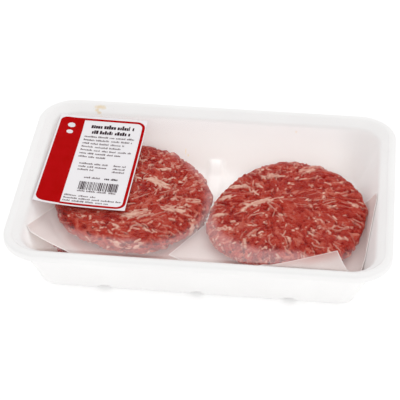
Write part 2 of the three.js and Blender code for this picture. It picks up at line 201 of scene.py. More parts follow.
TRAY_SHORT_STEPS = 62
TRAY_STATION_STEP = 1.5
CORNER_SHARE = 0.49
# Painted glow on the tray's inside: full below GLOW_FULL_Z, gone above GLOW_TOP_Z, and fading out between
# DIM_START_X and DIM_FULL_X so the right wall stays darker.
GLOW_TOP_Z = 36
GLOW_FULL_Z = 14
DIM_START_X = 78
DIM_FULL_X = 104
SHARP_ANGLE = math.radians(75)
FOAM_WHITES = ((0.3, (0.955, 0.945, 0.94)), (0.7, (0.985, 0.978, 0.972)))
# Colour and strength of the painted glow on the tray's inside.
FOAM_GLOW = (1, 0.92, 0.8)
FOAM_GLOW_STRENGTH = 0.11
# Painted shade: a grey line along the tray's foot and round the groove arches, fading out over this many mm
# above them.
FOOT_SHADE_GREY = (0.74, 0.73, 0.72)
FOOT_SHADE_WIDTH = 1.3
STAIN_RAGGEDNESS = 500.0
STAIN_FULL, STAIN_GONE = 0.8, 1.5
FAT_STAIN = (0.86, 0.63, 0.3)
RUST_STAIN = (0.62, 0.36, 0.12)
DARK_SPECK = (0.2, 0.13, 0.1)
# Stains: centre, half sizes, strength, colour
TRAY_STAINS = (
    ((-82, 79.9, 40), (5.2, 1.8, 3), 0.6, FAT_STAIN),
    ((-84.2, 77.9, 39.4), (2, 1.3, 3), 0.6, FAT_STAIN),
    ((-82.4, 76.3, 38.6), (1.9, 1.2, 3), 0.65, FAT_STAIN),
    ((-80.8, 74.9, 38), (1.7, 1.1, 3), 0.6, FAT_STAIN),
    ((-21.4, 66.8, 16), (0.7, 3, 3), 0.45, FAT_STAIN),
    ((-19.5, 65.9, 13.8), (1.1, 1.4, 1.4), 0.5, FAT_STAIN),
    ((53.8, 74, 33.1), (0.9, 0.9, 0.9), 0.6, FAT_STAIN),
    ((99.9, 59.8, 11.5), (0.7, 0.7, 0.7), 0.8, RUST_STAIN),
    ((98.2, 71.1, 26.8), (0.5, 0.5, 0.5), 0.6, DARK_SPECK),
    ((104.8, -10.5, 23), (1, 3, 2.2), 0.55, RUST_STAIN),
    ((106.8, -14.2, 28), (0.8, 1.2, 2.4), 0.6, RUST_STAIN),
)


def corner_radius(inset):
    """Corner radius of a level ring that lies an inset inside the rim's outer edge."""
    on_flange = RIM_CORNER_RADIUS - min(inset, WALL_TOP_INSET)
    on_wall = max(inset - WALL_TOP_INSET, 0) * RADIUS_LOSS
    return max(on_flange - on_wall, FLOOR_CORNER_RADIUS)


def ring(inset, corner_steps=TRAY_CORNER_STEPS, long_steps=TRAY_LONG_STEPS, short_steps=TRAY_SHORT_STEPS):
    """Points of a rounded rectangle, counter-clockwise, always as many."""
    half_x = TRAY_HALF_X - inset
    half_y = TRAY_HALF_Y - inset
    radius = min(corner_radius(inset), half_y)
    arcs = []
    for quarter, (side_x, side_y) in enumerate(((1, 1), (-1, 1), (-1, -1), (1, -1))):
        turn = (quarter + np.linspace(0, 1, corner_steps + 1)) * math.pi / 2
        x = side_x * (half_x - radius) + radius * np.cos(turn)
        y = side_y * (half_y - radius) + radius * np.sin(turn)
        arcs.append(np.column_stack((x, y)))
    points = []
    for quarter, arc in enumerate(arcs):
        steps = long_steps if quarter % 2 == 0 else short_steps
        along = np.linspace(0, 1, steps + 1)[1:-1, None]
        after = arcs[(quarter + 1) % 4][0]
        points.extend((arc, arc[-1] + (after - arc[-1]) * along))
    return np.concatenate(points)


def distance_inside(x, y, inset):
    """How far points lie inside the ring at an inset, negative outside it."""
    radius = corner_radius(inset)
    across_x = np.abs(x) - (TRAY_HALF_X - inset - radius)
    across_y = np.abs(y) - (TRAY_HALF_Y - inset - radius)
    outside = np.hypot(np.maximum(across_x, 0), np.maximum(across_y, 0))
    return radius - outside - np.minimum(np.maximum(across_x, across_y), 0)


def smooth_step(start, end, value):
    """0 before start, 1 after end, and a smooth rise between."""
    share = np.clip((value - start) / (end - start), 0, 1)
    return share * share * (3 - 2 * share)


def flange_height(inset):
    """Top of the flange inside the crest, sloping down to its inner edge."""
    along = np.clip((inset - CREST_INSET) / (FLANGE_WIDTH - CREST_INSET), 0, 1)
    return TRAY_HEIGHT - FLANGE_DROP * along ** FLANGE_BEND


def rounded_line(stations, arc_steps=5):
    """Points along straight runs between (inset, z, radius) stations, with their corners rounded."""
    points = [np.array(stations[0][:2])]
    for before, here, after in zip(stations, stations[1:], stations[2:]):
        corner = np.array(here[:2])
        back = np.array(before[:2]) - corner
        ahead = np.array(after[:2]) - corner
        back_run = np.linalg.norm(back)
        ahead_run = np.linalg.norm(ahead)
        reach = min(here[2], back_run * CORNER_SHARE, ahead_run * CORNER_SHARE)
        start = corner + back / back_run * reach
        end = corner + ahead / ahead_run * reach
        for share in np.linspace(0, 1, arc_steps):
            points.append((1 - share) ** 2 * start + 2 * share * (1 - share) * corner + share ** 2 * end)
    points.append(np.array(stations[-1][:2]))
    fine = []
    for start, end in zip(points, points[1:]):
        steps = max(1, math.ceil(np.linalg.norm(end - start) / TRAY_STATION_STEP))
        fine.extend(start + (end - start) * step / steps for step in range(steps))
    fine.append(points[-1])
    return fine


def grid_faces(rows, columns, closed=True, first=0):
    """Quads between neighbouring rows of points; closed joins each row's end to its start."""
    faces = []
    for row in range(rows - 1):
        for column in range(columns if closed else columns - 1):
            near = first + row * columns + column
            beside = first + row * columns + (column + 1) % columns
            faces.append((near, beside, beside + columns, near + columns))
    return faces


def fan_faces(centre, start, count, flipped=False):
    """Triangles from a centre point to a closed row of points."""
    faces = []
    for step in range(count):
        pair = (start + step, start + (step + 1) % count)
        faces.append((centre, *(reversed(pair) if flipped else pair)))
    return faces


def add_piece(name, points, faces, material, values=None):
    """Makes a smooth mesh piece from points in millimetres; values are numbers kept at each point."""
    mesh = bpy.data.meshes.new(name)
    mesh.from_pydata((np.asarray(points) * MM).tolist(), [], faces)
    mesh.shade_smooth()
    mesh.set_sharp_from_angle(angle=SHARP_ANGLE)
    mesh.materials.append(material)
    for key, numbers in (values or {}).items():
        mesh.attributes.new(key, "FLOAT", "POINT").data.foreach_set("value", np.asarray(numbers, np.float32))
    piece = new_object(name, mesh)
    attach(piece, "root")
    return piece


def rib_share(x, width, shoulder):
    """1 along the middle of the nearest rib, falling to 0 beside it."""
    off = np.abs(x - RIB_SPACING * np.clip(np.round(x / RIB_SPACING), -1, 1))
    return 1 - smooth_step(width / 2 - shoulder, width / 2, off)


def shader_group(name, inputs, outputs):
    """A shader node group with sockets of these names and kinds, and its two ends."""
    group = bpy.data.node_groups.new(name, "ShaderNodeTree")
    for in_out, sockets in (("INPUT", inputs), ("OUTPUT", outputs)):
        for socket, kind in sockets.items():
            group.interface.new_socket(socket, in_out=in_out, socket_type="NodeSocket" + kind)
    return group, group.nodes.new("NodeGroupInput"), group.nodes.new("NodeGroupOutput")


def calculate(tree, operation, *values):
    """The result of a maths node on values or other nodes' outputs."""
    return node(tree, "Math", dict(enumerate(values)), operation=operation).outputs["Value"]


def remap(tree, value, start, end, low=0.0, high=1.0):
    """A value brought from one range into another, and kept inside it."""
    ranges = {"From Min": start, "From Max": end, "To Min": low, "To Max": high}
    return node(tree, "MapRange", {"Value": value, **ranges}).outputs["Result"]


# Shader group: fine grain of a pressed or ground surface, as a height, and wider patches
grain_group, grain_in, grain_out = shader_group(
    "grain", {"Fineness": "Float", "Patch": "Float"}, {"Height": "Float", "Patches": "Float"}
)
grain_place = node(grain_group, "TexCoord").outputs["Object"]
grain_fine = node(
    grain_group, "TexNoise",
    {"Vector": grain_place, "Scale": grain_in.outputs["Fineness"], "Detail": 3.0},
)
grain_wide = node(
    grain_group, "TexNoise",
    {"Vector": grain_place, "Scale": grain_in.outputs["Patch"], "Detail": 2.0},
)
fill(grain_out, {"Height": grain_fine.outputs["Fac"], "Patches": grain_wide.outputs["Fac"]})

# Shader group: one stain, fading out from its centre with an uneven edge
stain_group, stain_in, stain_out = shader_group(
    "stain", {"Centre": "Vector", "Stretch": "Vector", "Strength": "Float"}, {"Mask": "Float"}
)
stain_place = node(stain_group, "TexCoord").outputs["Object"]
stain_noise = node(
    stain_group, "TexNoise", {"Vector": stain_place, "Scale": STAIN_RAGGEDNESS, "Detail": 2.0}
)
stain_offset = node(
    stain_group, "VectorMath", {0: stain_place, 1: stain_in.outputs["Centre"]}, operation="SUBTRACT"
)
stain_scaled = node(
    stain_group, "VectorMath",
    {0: stain_offset.outputs["Vector"], 1: stain_in.outputs["Stretch"]}, operation="DIVIDE",
)
stain_length = node(stain_group, "VectorMath", {0: stain_scaled.outputs["Vector"]}, operation="LENGTH")
stain_ragged = calculate(stain_group, "ADD", stain_length.outputs["Value"], stain_noise.outputs["Fac"])
stain_fade = remap(stain_group, stain_ragged, STAIN_FULL, STAIN_GONE, 1.0, 0.0)
fill(stain_out, {"Mask": calculate(stain_group, "MULTIPLY", stain_fade, stain_in.outputs["Strength"])})


def grain(tree, fineness, patch):
    """The grain group, with how fine its grain and its patches are."""
    return node(tree, "Group", {"Fineness": fineness, "Patch": patch}, node_tree=grain_group)


def stained(tree, colour, stains):
    """Lays stains over a colour."""
    for centre, half_sizes, strength, tint in stains:
        stain = node(tree, "Group", {
            "Centre": Vector(centre) * MM, "Stretch": Vector(half_sizes) * MM, "Strength": strength,
        }, node_tree=stain_group)
        colour = mix_colour(tree, stain.outputs["Mask"], colour, tint)
    return colour


def kept_value(tree, key):
    """Reads a number that a mesh keeps at its points."""
    return node(tree, "Attribute", attribute_name=key).outputs["Fac"]


def bumps(tree, height, distance, strength):
    """The small bumps of a height, at most a distance in metres, for a shader's normal."""
    bump = node(tree, "Bump", {"Height": height, "Distance": distance, "Strength": strength})
    return bump.outputs["Normal"]


foam, foam_tree, foam_shader = new_material("foam")
foam_grain = grain(foam_tree, 1100.0, 22.0)
foam_white = colour_steps(foam_tree, foam_grain.outputs["Patches"], FOAM_WHITES)
foam_stained = stained(foam_tree, foam_white, TRAY_STAINS)
fill(foam_shader, {
    # The foot share paints grey shade along the foot line and round the groove arches.
    "Base Color": mix_colour(foam_tree, kept_value(foam_tree, "foot"), foam_stained, FOOT_SHADE_GREY),
    # Emission paints a warm glow where the inside share is high, on the lower inside walls and floor.
    "Roughness": 0.55, "Specular IOR Level": 0.25, "Emission Strength": FOAM_GLOW_STRENGTH,
    "Emission Color": colour_steps(
        foam_tree, kept_value(foam_tree, "inside"), ((0, (0, 0, 0)), (1, FOAM_GLOW))
    ),
    "Normal": bumps(foam_tree, foam_grain.outputs["Height"], 0.00012, 0.6),
})

# Stations of the tray's outer and inner lines: inset, height, radius of the corner there
under_lip = TRAY_HEIGHT - LIP_HEIGHT
outer_stations = [
    (TRAY_HALF_Y - MIDDLE_GAP, 0, 0),
    (WALL_FOOT_INSET, 0, BASE_FILLET),
    (WALL_TOP_INSET, under_lip - 1, 1.4),
    (CREST_INSET + 0.6, under_lip + 2, 0.6),
    (CREST_INSET - 0.7, under_lip, 0.8),
    (0, under_lip, 0.9),
    (0, TRAY_HEIGHT - 0.6, 1.7),
    (CREST_INSET - 0.6, TRAY_HEIGHT, 1.6),
    (CREST_INSET + 1, float(flange_height(CREST_INSET + 1)), 1.3),
    (FLANGE_WIDTH, FLANGE_INNER_Z, 1.8),
    (WALL_INNER_TOP_INSET, WALL_INNER_TOP_Z, 1),
]
floor_edge_inset = WALL_INNER_TOP_INSET + (WALL_INNER_TOP_Z - SHELL_THICKNESS) * WALL_LEAN
inner_stations = [
    (WALL_INNER_TOP_INSET, WALL_INNER_TOP_Z, 0),
    (floor_edge_inset, SHELL_THICKNESS, 4.5),
    (TRAY_HALF_Y - MIDDLE_GAP, SHELL_THICKNESS, 0),
]
outer_line = rounded_line(outer_stations)
inner_line = rounded_line(inner_stations)
tray_rings = []
# foot holds each outer ring's painted shade share, highest at the foot and the groove arches.
foot = []
for inset, z in outer_line:
    level = ring(inset)
    groove_z = GROOVE_DEPTH * rib_share(level[:, 0], GROOVE_WIDTH, GROOVE_SHOULDER)
    lifted = np.maximum(z, groove_z)
    tray_rings.append(np.column_stack((level, lifted)))
    foot.append((inset < WALL_FOOT_INSET + 1) * (1 - smooth_step(0, FOOT_SHADE_WIDTH, lifted - groove_z)))
for inset, z in inner_line[1:]:
    level = ring(inset)
    past_floor = np.abs(level[:, 1]) - (TRAY_HALF_Y - floor_edge_inset)
    climb = RIB_CLIMB * smooth_step(CLIMB_START, CLIMB_END, past_floor)
    rib = (GROOVE_DEPTH + climb) * rib_share(level[:, 0], RIB_WIDTH, RIB_SHOULDER)
    tray_rings.append(np.column_stack((level, np.maximum(z, SHELL_THICKNESS + rib))))
ring_points = len(tray_rings[0])
tray_points = np.concatenate((
    *tray_rings,
    [(0, 0, GROOVE_DEPTH)],
    [(0, 0, SHELL_THICKNESS + GROOVE_DEPTH)],
))
centre_point = len(tray_rings) * ring_points
tray_faces = grid_faces(len(tray_rings), ring_points)
tray_faces += fan_faces(centre_point, 0, ring_points, flipped=True)
tray_faces += fan_faces(centre_point + 1, centre_point - ring_points, ring_points)
# Painted glow share: inner surfaces only, strongest low down, less towards the right wall.
painted_glow_share = smooth_step(-GLOW_TOP_Z, -GLOW_FULL_Z, -tray_points[:, 2])
painted_glow_share *= smooth_step(-DIM_FULL_X, -DIM_START_X, -tray_points[:, 0])
outer_count = len(outer_line) * ring_points
painted_glow_share[:outer_count] = 0
foot_shade_share = np.zeros(len(tray_points))
foot_shade_share[:outer_count] = np.concatenate(foot)
tray_values = {"inside": painted_glow_share, "foot": foot_shade_share}
tray_piece = add_piece("foam_tray", tray_points, tray_faces, foam, tray_values)
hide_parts("tray")

# Patties
# Coarsely ground meat pressed into four thick discs, two on two: short strands of dark red muscle
# with flecks and a few larger flakes of white fat, flattened on top and craggy round the side.
# Painted shade darkens the gaps between strands, and a faint painted red glow stands in for light
# scattered inside the meat.
PATTY_THICKNESS = 12.2
PATTY_SQUARENESS = 3.4
DROOP = 3.2
DROOP_START_Y = 18
DROOP_END_Y = 52
TOP_DOME = 0.5
PROFILE_START, PROFILE_END = 0.004, 0.05
PROFILE_STEPS = 600
RIM_LUMPS = (11, 17, 23)
RIM_LUMP_SHARE = 0.006
SHEET_EDGE = 74
SHEET_STEP = 0.3
STRAND_DEPTH = 2.3
PRESSED_TOP = -0.1
LOOSE_START, LOOSE_FULL = 0.8, 0.98
FAT_SHARE = 0.1
SMALL_FLAKES = 60
FIBRES = 240
MUSCLE_DEEP = (0.26, 0.004, 0.002)
MUSCLE_RED = (0.42, 0.036, 0.02)
MUSCLE_PALE = (0.58, 0.19, 0.13)
FAT_WHITE = (0.78, 0.53, 0.41)
# Painted shade colour in the deep gaps between strands.
GAP_SHADE = (0.22, 0.004, 0.003)
# Faint painted red glow, standing in for light scattered inside the meat.
MEAT_GLOW = (1, 0.05, 0.02, 1)


def droop_at(y):
    """How far the upper layer has sunk at a place towards the back."""
    return DROOP * smooth_step(DROOP_START_Y, DROOP_END_Y, y)


def cell_span(middle, reach, cells):
    """The first and the last cell of a sheet that lie within reach of a place along one side."""
    ends = np.array((middle - reach, middle + reach))
    return np.clip((ends + SHEET_EDGE) / SHEET_STEP, 0, cells).astype(int)


def lay_strand(sheet, strand, kind):
    """Presses one strand into a sheet of heights, where it lies above what is there already."""
    x, y, length, width, turn, bend, level = strand
    fat, tone = kind
    rows, columns = sheet["height"].shape
    first_x, last_x = cell_span(x, length / 2 + width, columns)
    first_y, last_y = cell_span(y, length / 2 + width, rows)
    if first_x >= last_x or first_y >= last_y:
        return
    window = (slice(first_y, last_y), slice(first_x, last_x))
    off_x = sheet["x"][window] - x
    off_y = sheet["y"][window] - y
    along = off_x * math.cos(turn) + off_y * math.sin(turn)
    across = off_y * math.cos(turn) - off_x * math.sin(turn) - bend * along ** 2
    past = np.maximum(np.abs(along) - length / 2 + width / 2, 0)
    inside = 1 - (across ** 2 + past ** 2) / (width / 2) ** 2
    height = level + (np.sqrt(np.maximum(inside, 0)) - 1) * min(width * 0.55, 1.1)
    wins = (inside > 0) & (height > sheet["height"][window])
    sheet["height"][window][wins] = height[wins]
    sheet["fat"][window][wins] = fat
    sheet["tone"][window][wins] = tone


def ground_meat(seed, flow, flakes, count):
    """A square sheet of ground meat: its height, fat and tone on a fine grid."""
    draw = np.random.default_rng(seed)
    axis = np.arange(-SHEET_EDGE, SHEET_EDGE, SHEET_STEP)
    x, y = np.meshgrid(axis, axis)
    sheet = {
        "x": x, "y": y, "height": np.full(x.shape, -STRAND_DEPTH),
        "fat": np.zeros(x.shape), "tone": np.full(x.shape, -1.0),
    }
    for _ in range(count):
        place = draw.uniform(-SHEET_EDGE, SHEET_EDGE, 2)
        is_fat = draw.random() < FAT_SHARE
        length = draw.uniform(1.5, 5) if is_fat else draw.uniform(2.5, 9)
        width = draw.uniform(0.5, 1.5) if is_fat else draw.uniform(1, 2.8)
        turn = flow(*place) + draw.normal(0, 0.7)
        level = draw.uniform(-0.8, 0.12) if is_fat else draw.uniform(-1.5, 0.15)
        strand = (*place, length, width, turn, draw.normal(0, 0.025), level)
        lay_strand(sheet, strand, (draw.uniform(0.25, 1) if is_fat else 0, draw.normal(0, 0.45)))
    for _ in range(FIBRES):
        place = draw.uniform(-SHEET_EDGE, SHEET_EDGE, 2)
        turn = flow(*place) + draw.normal(0, 0.4)
        strand = (*place, draw.uniform(4, 11), draw.uniform(0.45, 0.75), turn, draw.normal(0, 0.03), 0.1)
        lay_strand(sheet, strand, (draw.uniform(0.3, 0.65), 0))
    small = []
    for _ in range(SMALL_FLAKES):
        place = draw.uniform(-SHEET_EDGE, SHEET_EDGE, 2)
        small.append((*place, draw.uniform(2.5, 6), draw.uniform(1.2, 2.6), draw.uniform(0, math.pi)))
    for flake_x, flake_y, length, width, turn in (*small, *flakes):
        for _ in range(max(3, int(length * width / 3.5))):
            along = draw.uniform(-0.5, 0.5) * length
            aside = draw.normal(0, 0.22) * width
            place_x = flake_x + along * math.cos(turn) - aside * math.sin(turn)
            place_y = flake_y + along * math.sin(turn) + aside * math.cos(turn)
            strand = (
                place_x, place_y, draw.uniform(0.35, 0.8) * length, draw.uniform(0.9, 2),
                turn + draw.normal(0, 0.35), draw.normal(0, 0.02), draw.uniform(-0.15, 0.2),
            )
            lay_strand(sheet, strand, (draw.uniform(0.45, 1), draw.normal(0, 0.3)))
    return sheet


def sample(field, x, y):
    """Reads a sheet's grid at points, blending between its cells."""
    column = np.clip((x + SHEET_EDGE) / SHEET_STEP, 0, field.shape[1] - 1.001)
    row = np.clip((y + SHEET_EDGE) / SHEET_STEP, 0, field.shape[0] - 1.001)
    c, r = column.astype(int), row.astype(int)
    u, v = column - c, row - r
    near = field[r, c] * (1 - u) + field[r, c + 1] * u
    far = field[r + 1, c] * (1 - u) + field[r + 1, c + 1] * u
    return near * (1 - v) + far * v


def patty_rim(patty, angle):
    """A patty's outline from its middle: an ellipse made uneven by waves of (count, share, phase)."""
    lumps = tuple((count, RIM_LUMP_SHARE, count * patty["seed"]) for count in RIM_LUMPS)
    wobble = 1 + sum(share * np.sin(count * angle + phase) for count, share, phase in patty["waves"] + lumps)
    return wobble * patty["half"][0] * np.cos(angle), wobble * patty["half"][1] * np.sin(angle)


def unit(vectors):
    """Vectors made one long."""
    return vectors / np.maximum(np.linalg.norm(vectors, axis=-1, keepdims=True), 1e-9)


def make_patty(name, cad_node, patty, sheet, spokes, ring_step):
    """A superellipse disc whose skin follows a sheet of ground meat wrapped over it from the top."""
    turn = np.linspace(PROFILE_START, math.pi - PROFILE_END, PROFILE_STEPS)
    across = np.sin(turn) ** (2 / PATTY_SQUARENESS)
    side = np.sign(np.cos(turn)) * np.abs(np.cos(turn)) ** (2 / PATTY_SQUARENESS)
    mean_half = (patty["half"][0] + patty["half"][1]) / 2
    run = np.hypot(np.diff(across) * mean_half, np.diff(side) * PATTY_THICKNESS / 2)
    run = np.concatenate(([0], np.cumsum(run)))
    even = np.linspace(0, run[-1], int(run[-1] / ring_step))
    across = np.interp(even, run, across)[:, None]
    side = np.interp(even, run, side)[:, None]
    angle = np.linspace(0, 2 * math.pi, spokes, endpoint=False)[None, :]
    rim_x, rim_y = patty_rim(patty, angle)
    x = patty["centre"][0] + across * rim_x
    y = patty["centre"][1] + across * rim_y
    dome = np.where(side > 0, TOP_DOME * (1 - across ** 2), 0)
    rise = np.maximum(PATTY_THICKNESS / 2 * (1 + side) + dome - TOP_DOME, 0)
    droop = droop_at(y) if patty["on_top"] else 0 * y
    base = np.stack((x, y, patty["bottom"] + rise - droop), axis=-1)
    around = np.roll(base, -1, axis=1) - np.roll(base, 1, axis=1)
    down = np.gradient(base, axis=0)
    normal = unit(np.cross(down, around))
    step = np.linalg.norm(np.diff(base, axis=0, prepend=base[:1]), axis=-1)
    reach = np.cumsum(step, axis=0)
    heading = np.arctan2(rim_y, rim_x)
    on_sheet = (reach * np.cos(heading), reach * np.sin(heading))
    relief = sample(sheet["height"], *on_sheet)
    loose = smooth_step(LOOSE_START, LOOSE_FULL, across)
    pressed = np.minimum(relief, PRESSED_TOP)
    relief = (pressed + (relief - pressed) * loose) * (0.7 + 0.5 * loose) * np.where(side < -0.9, 0.3, 1)
    points = base + normal * relief[..., None]
    points[..., 2] = np.maximum(points[..., 2], patty["bottom"] - droop)
    values = {
        "fat": sample(sheet["fat"], *on_sheet),
        "tone": sample(sheet["tone"], *on_sheet),
        "depth": np.clip(-relief / STRAND_DEPTH, 0, 1),
    }
    rings, count = points.shape[:2]
    flat = np.concatenate((points.reshape(-1, 3), [points[0].mean(axis=0), points[-1].mean(axis=0)]))
    for key, field in values.items():
        values[key] = np.append(field.ravel(), (field[0].mean(), field[-1].mean()))
    faces = [tuple(reversed(face)) for face in grid_faces(rings, count)]
    faces += fan_faces(rings * count, 0, count)
    faces += fan_faces(rings * count + 1, (rings - 1) * count, count, flipped=True)
    piece = add_piece(name, flat, faces, raw_meat, values)
    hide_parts(cad_node)
    return piece


raw_meat, meat_tree, meat_shader = new_material("raw_meat")
meat_grain = grain(meat_tree, 900.0, 60.0)
meat_mottle = remap(meat_tree, meat_grain.outputs["Patches"], 0.3, 0.7, -0.35, 0.35)
meat_shade = calculate(meat_tree, "ADD", kept_value(meat_tree, "tone"), meat_mottle)
meat_speckle = calculate(meat_tree, "MULTIPLY_ADD", meat_grain.outputs["Height"], 2.2, meat_shade)
muscle = colour_steps(
    meat_tree, remap(meat_tree, meat_speckle, 0.1, 2.65),
    ((0.05, MUSCLE_DEEP), (0.45, MUSCLE_RED), (0.95, MUSCLE_PALE)),
)
with_fat = mix_colour(meat_tree, kept_value(meat_tree, "fat"), muscle, FAT_WHITE)
# Painted shade: the deeper a gap between strands, the more it takes the gap shade colour.
gap_shade_share = remap(meat_tree, kept_value(meat_tree, "depth"), 0.3, 0.95, 0.0, 0.8)
fill(meat_shader, {
    "Base Color": mix_colour(meat_tree, gap_shade_share, with_fat, GAP_SHADE),
    "Roughness": 0.34, "Specular IOR Level": 0.05,
    # A faint emission paints red light scattered inside the meat.
    "Emission Color": MEAT_GLOW, "Emission Strength": 0.04,
    "Normal": bumps(meat_tree, meat_grain.outputs["Height"], 0.0003, 0.5),
})

# Patties: middle, half sizes, underside, and the waves (count, share, phase) of the outline
LEFT_PATTY = {
    "centre": (-47.6, -0.2), "half": (49.8, 57.9), "bottom": 20.4, "seed": 3, "on_top": True,
    "waves": ((2, 0.013, 2.93), (3, 0.027, 2.87), (4, 0.015, 0.4), (5, 0.015, 2.1)),
}
RIGHT_PATTY = {
    "centre": (54.5, -10.8), "half": (51.8, 56.9), "bottom": 21.2, "seed": 4, "on_top": True,
    "waves": ((2, 0.036, 5.59), (3, 0.048, 3.51), (4, 0.024, 6.16), (5, 0.013, 0.35)),
}
LOWER_LEFT = {
    "centre": (-51.5, -14.2), "half": (51, 49.5), "bottom": 7.2, "seed": 1, "on_top": False,
    "waves": ((3, 0.018, 1), (5, 0.012, 2)),
}
LOWER_RIGHT = {
    "centre": (52, -13.4), "half": (49, 49), "bottom": 7.2, "seed": 2, "on_top": False,
    "waves": ((3, 0.018, 2), (5, 0.012, 4)),
}
SWIRL_X, SWIRL_Y = -9.6, 6.3


def left_flow(x, y):
    """Strands of the left patty run round in loose curls."""
    return 0.5 * math.sin(x / 16 + 1) + 0.9 * math.sin(y / 21 + 0.5) + 0.3


def right_flow(x, y):
    """Strands of the right patty run out from a point a little behind and left of its middle."""
    return math.atan2(y - SWIRL_Y, x - SWIRL_X)


# The larger flakes of fat that show: place from the patty's middle, length, width, turn
LEFT_FLAKES = (
    (14.7, 6.6, 15, 5, -0.6), (37.2, -6.3, 7, 4.5, 0), (27.4, -16.9, 11, 5, -0.3),
    (17.2, 23.5, 8, 2.5, 0.2), (20, 13, 7, 2, 0.6), (0, 9, 5, 4, -0.5), (3.7, -24.7, 13, 7, 0.4),
    (41.5, -33, 9, 4, -1.2), (33, -31, 3, 2, 0), (24, -8, 4, 1.5, 0.3), (6, 27, 4, 2, 0.2),
    (-6, -51, 6, 4, -0.6), (9, -53, 6, 3, 0.8), (-19, -34, 6, 2, 0.7), (12, -38, 5, 2, -0.4),
)
RIGHT_FLAKES = (
    (-14.3, 5.4, 14, 3.5, 0.3), (-26, -1, 18, 1, 0.5), (-22, 14, 12, 1.6, -0.8),
    (-20, 21, 7, 1.2, -0.8), (-33, 20, 10, 4, 0.1), (-41, 9, 9, 4, 0.3), (-41, -9, 8, 3, 0),
    (-11, 32, 11, 5, 0.1), (9.5, 43, 9, 5, 0.7), (7, 30, 5, 3, 0.5), (-37, -23, 7, 3.5, 0),
    (-25, -37, 8, 3, 1.4), (0, -27, 4, 2, -0.8), (2, -30, 4, 2, -0.8), (13.5, -24, 6, 3.5, -0.8),
    (25, 4, 5, 2.5, 0.5), (13.5, 4, 5, 3, 0.3), (38, 9, 6, 4, 0.1), (34, -25, 6, 3, -0.3),
    (43, -37, 4, 4, 0), (37, -14, 5, 2, 0.4), (18.5, -10, 6, 1.6, -0.5),
)
UPPER_STRANDS, UPPER_SPOKES, UPPER_STEP = 6500, 440, 0.55
LOWER_STRANDS, LOWER_SPOKES, LOWER_STEP = 2600, 300, 0.9
make_patty(
    "patty_left", "upper_patty_left", LEFT_PATTY,
    ground_meat(11, left_flow, LEFT_FLAKES, UPPER_STRANDS), UPPER_SPOKES, UPPER_STEP,
)
right_patty = make_patty(
    "patty_right", "upper_patty_right", RIGHT_PATTY,
    ground_meat(12, right_flow, RIGHT_FLAKES, UPPER_STRANDS), UPPER_SPOKES, UPPER_STEP,
)
make_patty(
    "patty_under_left", "lower_patty_left", LOWER_LEFT,
    ground_meat(13, left_flow, (), LOWER_STRANDS), LOWER_SPOKES, LOWER_STEP,
)
make_patty(
    "patty_under_right", "lower_patty_right", LOWER_RIGHT,
    ground_meat(14, right_flow, (), LOWER_STRANDS), LOWER_SPOKES, LOWER_STEP,
)

# Squares of paper
# Thin greaseproof paper under each upper patty. Its corners turn up the tray's walls, and one
# curls back over the front of the right patty. It takes up juice, so it is pink near the meat.
# Its cut edge is painted white as a highlight, and a faint painted glow stands in for light
# coming through it.
PAPER_THICKNESS = 0.35
PAPER_STEPS = 90
PAPER_FOOT_RADIUS = 8
PAPER_CURL_RADIUS = 2.6
PAPER_CURL_RISE = 12.5
FOLD_REACH, FOLD_STEP = 80, 0.25
PAPER_WAVE = 0.12
PAPER_RIPPLE = 0.35
PAPER_FREE_START, PAPER_FREE_FULL = 2, 10
RIPPLE_WAVES = 7
RIPPLE_SHORTEST, RIPPLE_LONGEST = 7, 26
PAPER_EDGE_SHARE = 0.006
PAPER_FILM_GAP = 0.55
PAPER_WALL_GAP = 1
RAMP_SLOPE = 0.6
RAMP_START = 6
RAMP_FROM_X = -70
RAMP_FULL_X = -85
FLAP_BACK_Y = -40
FLAP_CLEARANCE = 0.3
SOAK_START, SOAK_END = -2, 9
SOAK_UNEVEN = 2.5
SOAK_LOSS = 0.85
DRY_START_X, DRY_FULL_X = 84, 100
PAPER_WHITE = (0.71, 0.61, 0.585)
PAPER_DULL = (0.64, 0.53, 0.505)
PAPER_SOAKED = (0.56, 0.3, 0.27)
# Painted highlight colour on the paper's cut edge.
PAPER_EDGE_HIGHLIGHT = (0.95, 0.92, 0.91)
# Painted glow, standing in for light coming through the thin paper.
PAPER_GLOW = (1, 0.86, 0.83, 1)
LEFT_PAPER_CORNERS = ((-118.6, -49.5), (-11, -73.4), (1, 10), (-71.5, 50))
LEFT_PAPER_Z = 19.75
RIGHT_PAPER_CORNERS = ((-19, -51.5), (87, -108.6), (121.8, 4.6), (38.5, 44))
RIGHT_PAPER_Z = 20.5
FILM_THICKNESS = 0.3
FILM_SEAL_INSET = 4.9
FILM_GAP = 0.3
FILM_SAG = 4.1
FILM_SAG_REACH = 17


def film_height(x, y):
    """Underside of the film: flat over the patties, rising to the seal on the flange."""
    inside = distance_inside(x, y, FLANGE_WIDTH)
    on_flange = flange_height(FLANGE_WIDTH + inside) + FILM_GAP
    sag = FILM_SAG * (1 - np.exp(-np.maximum(inside, 0) / FILM_SAG_REACH))
    return np.where(inside <= 0, on_flange, FLANGE_INNER_Z + FILM_GAP - sag)


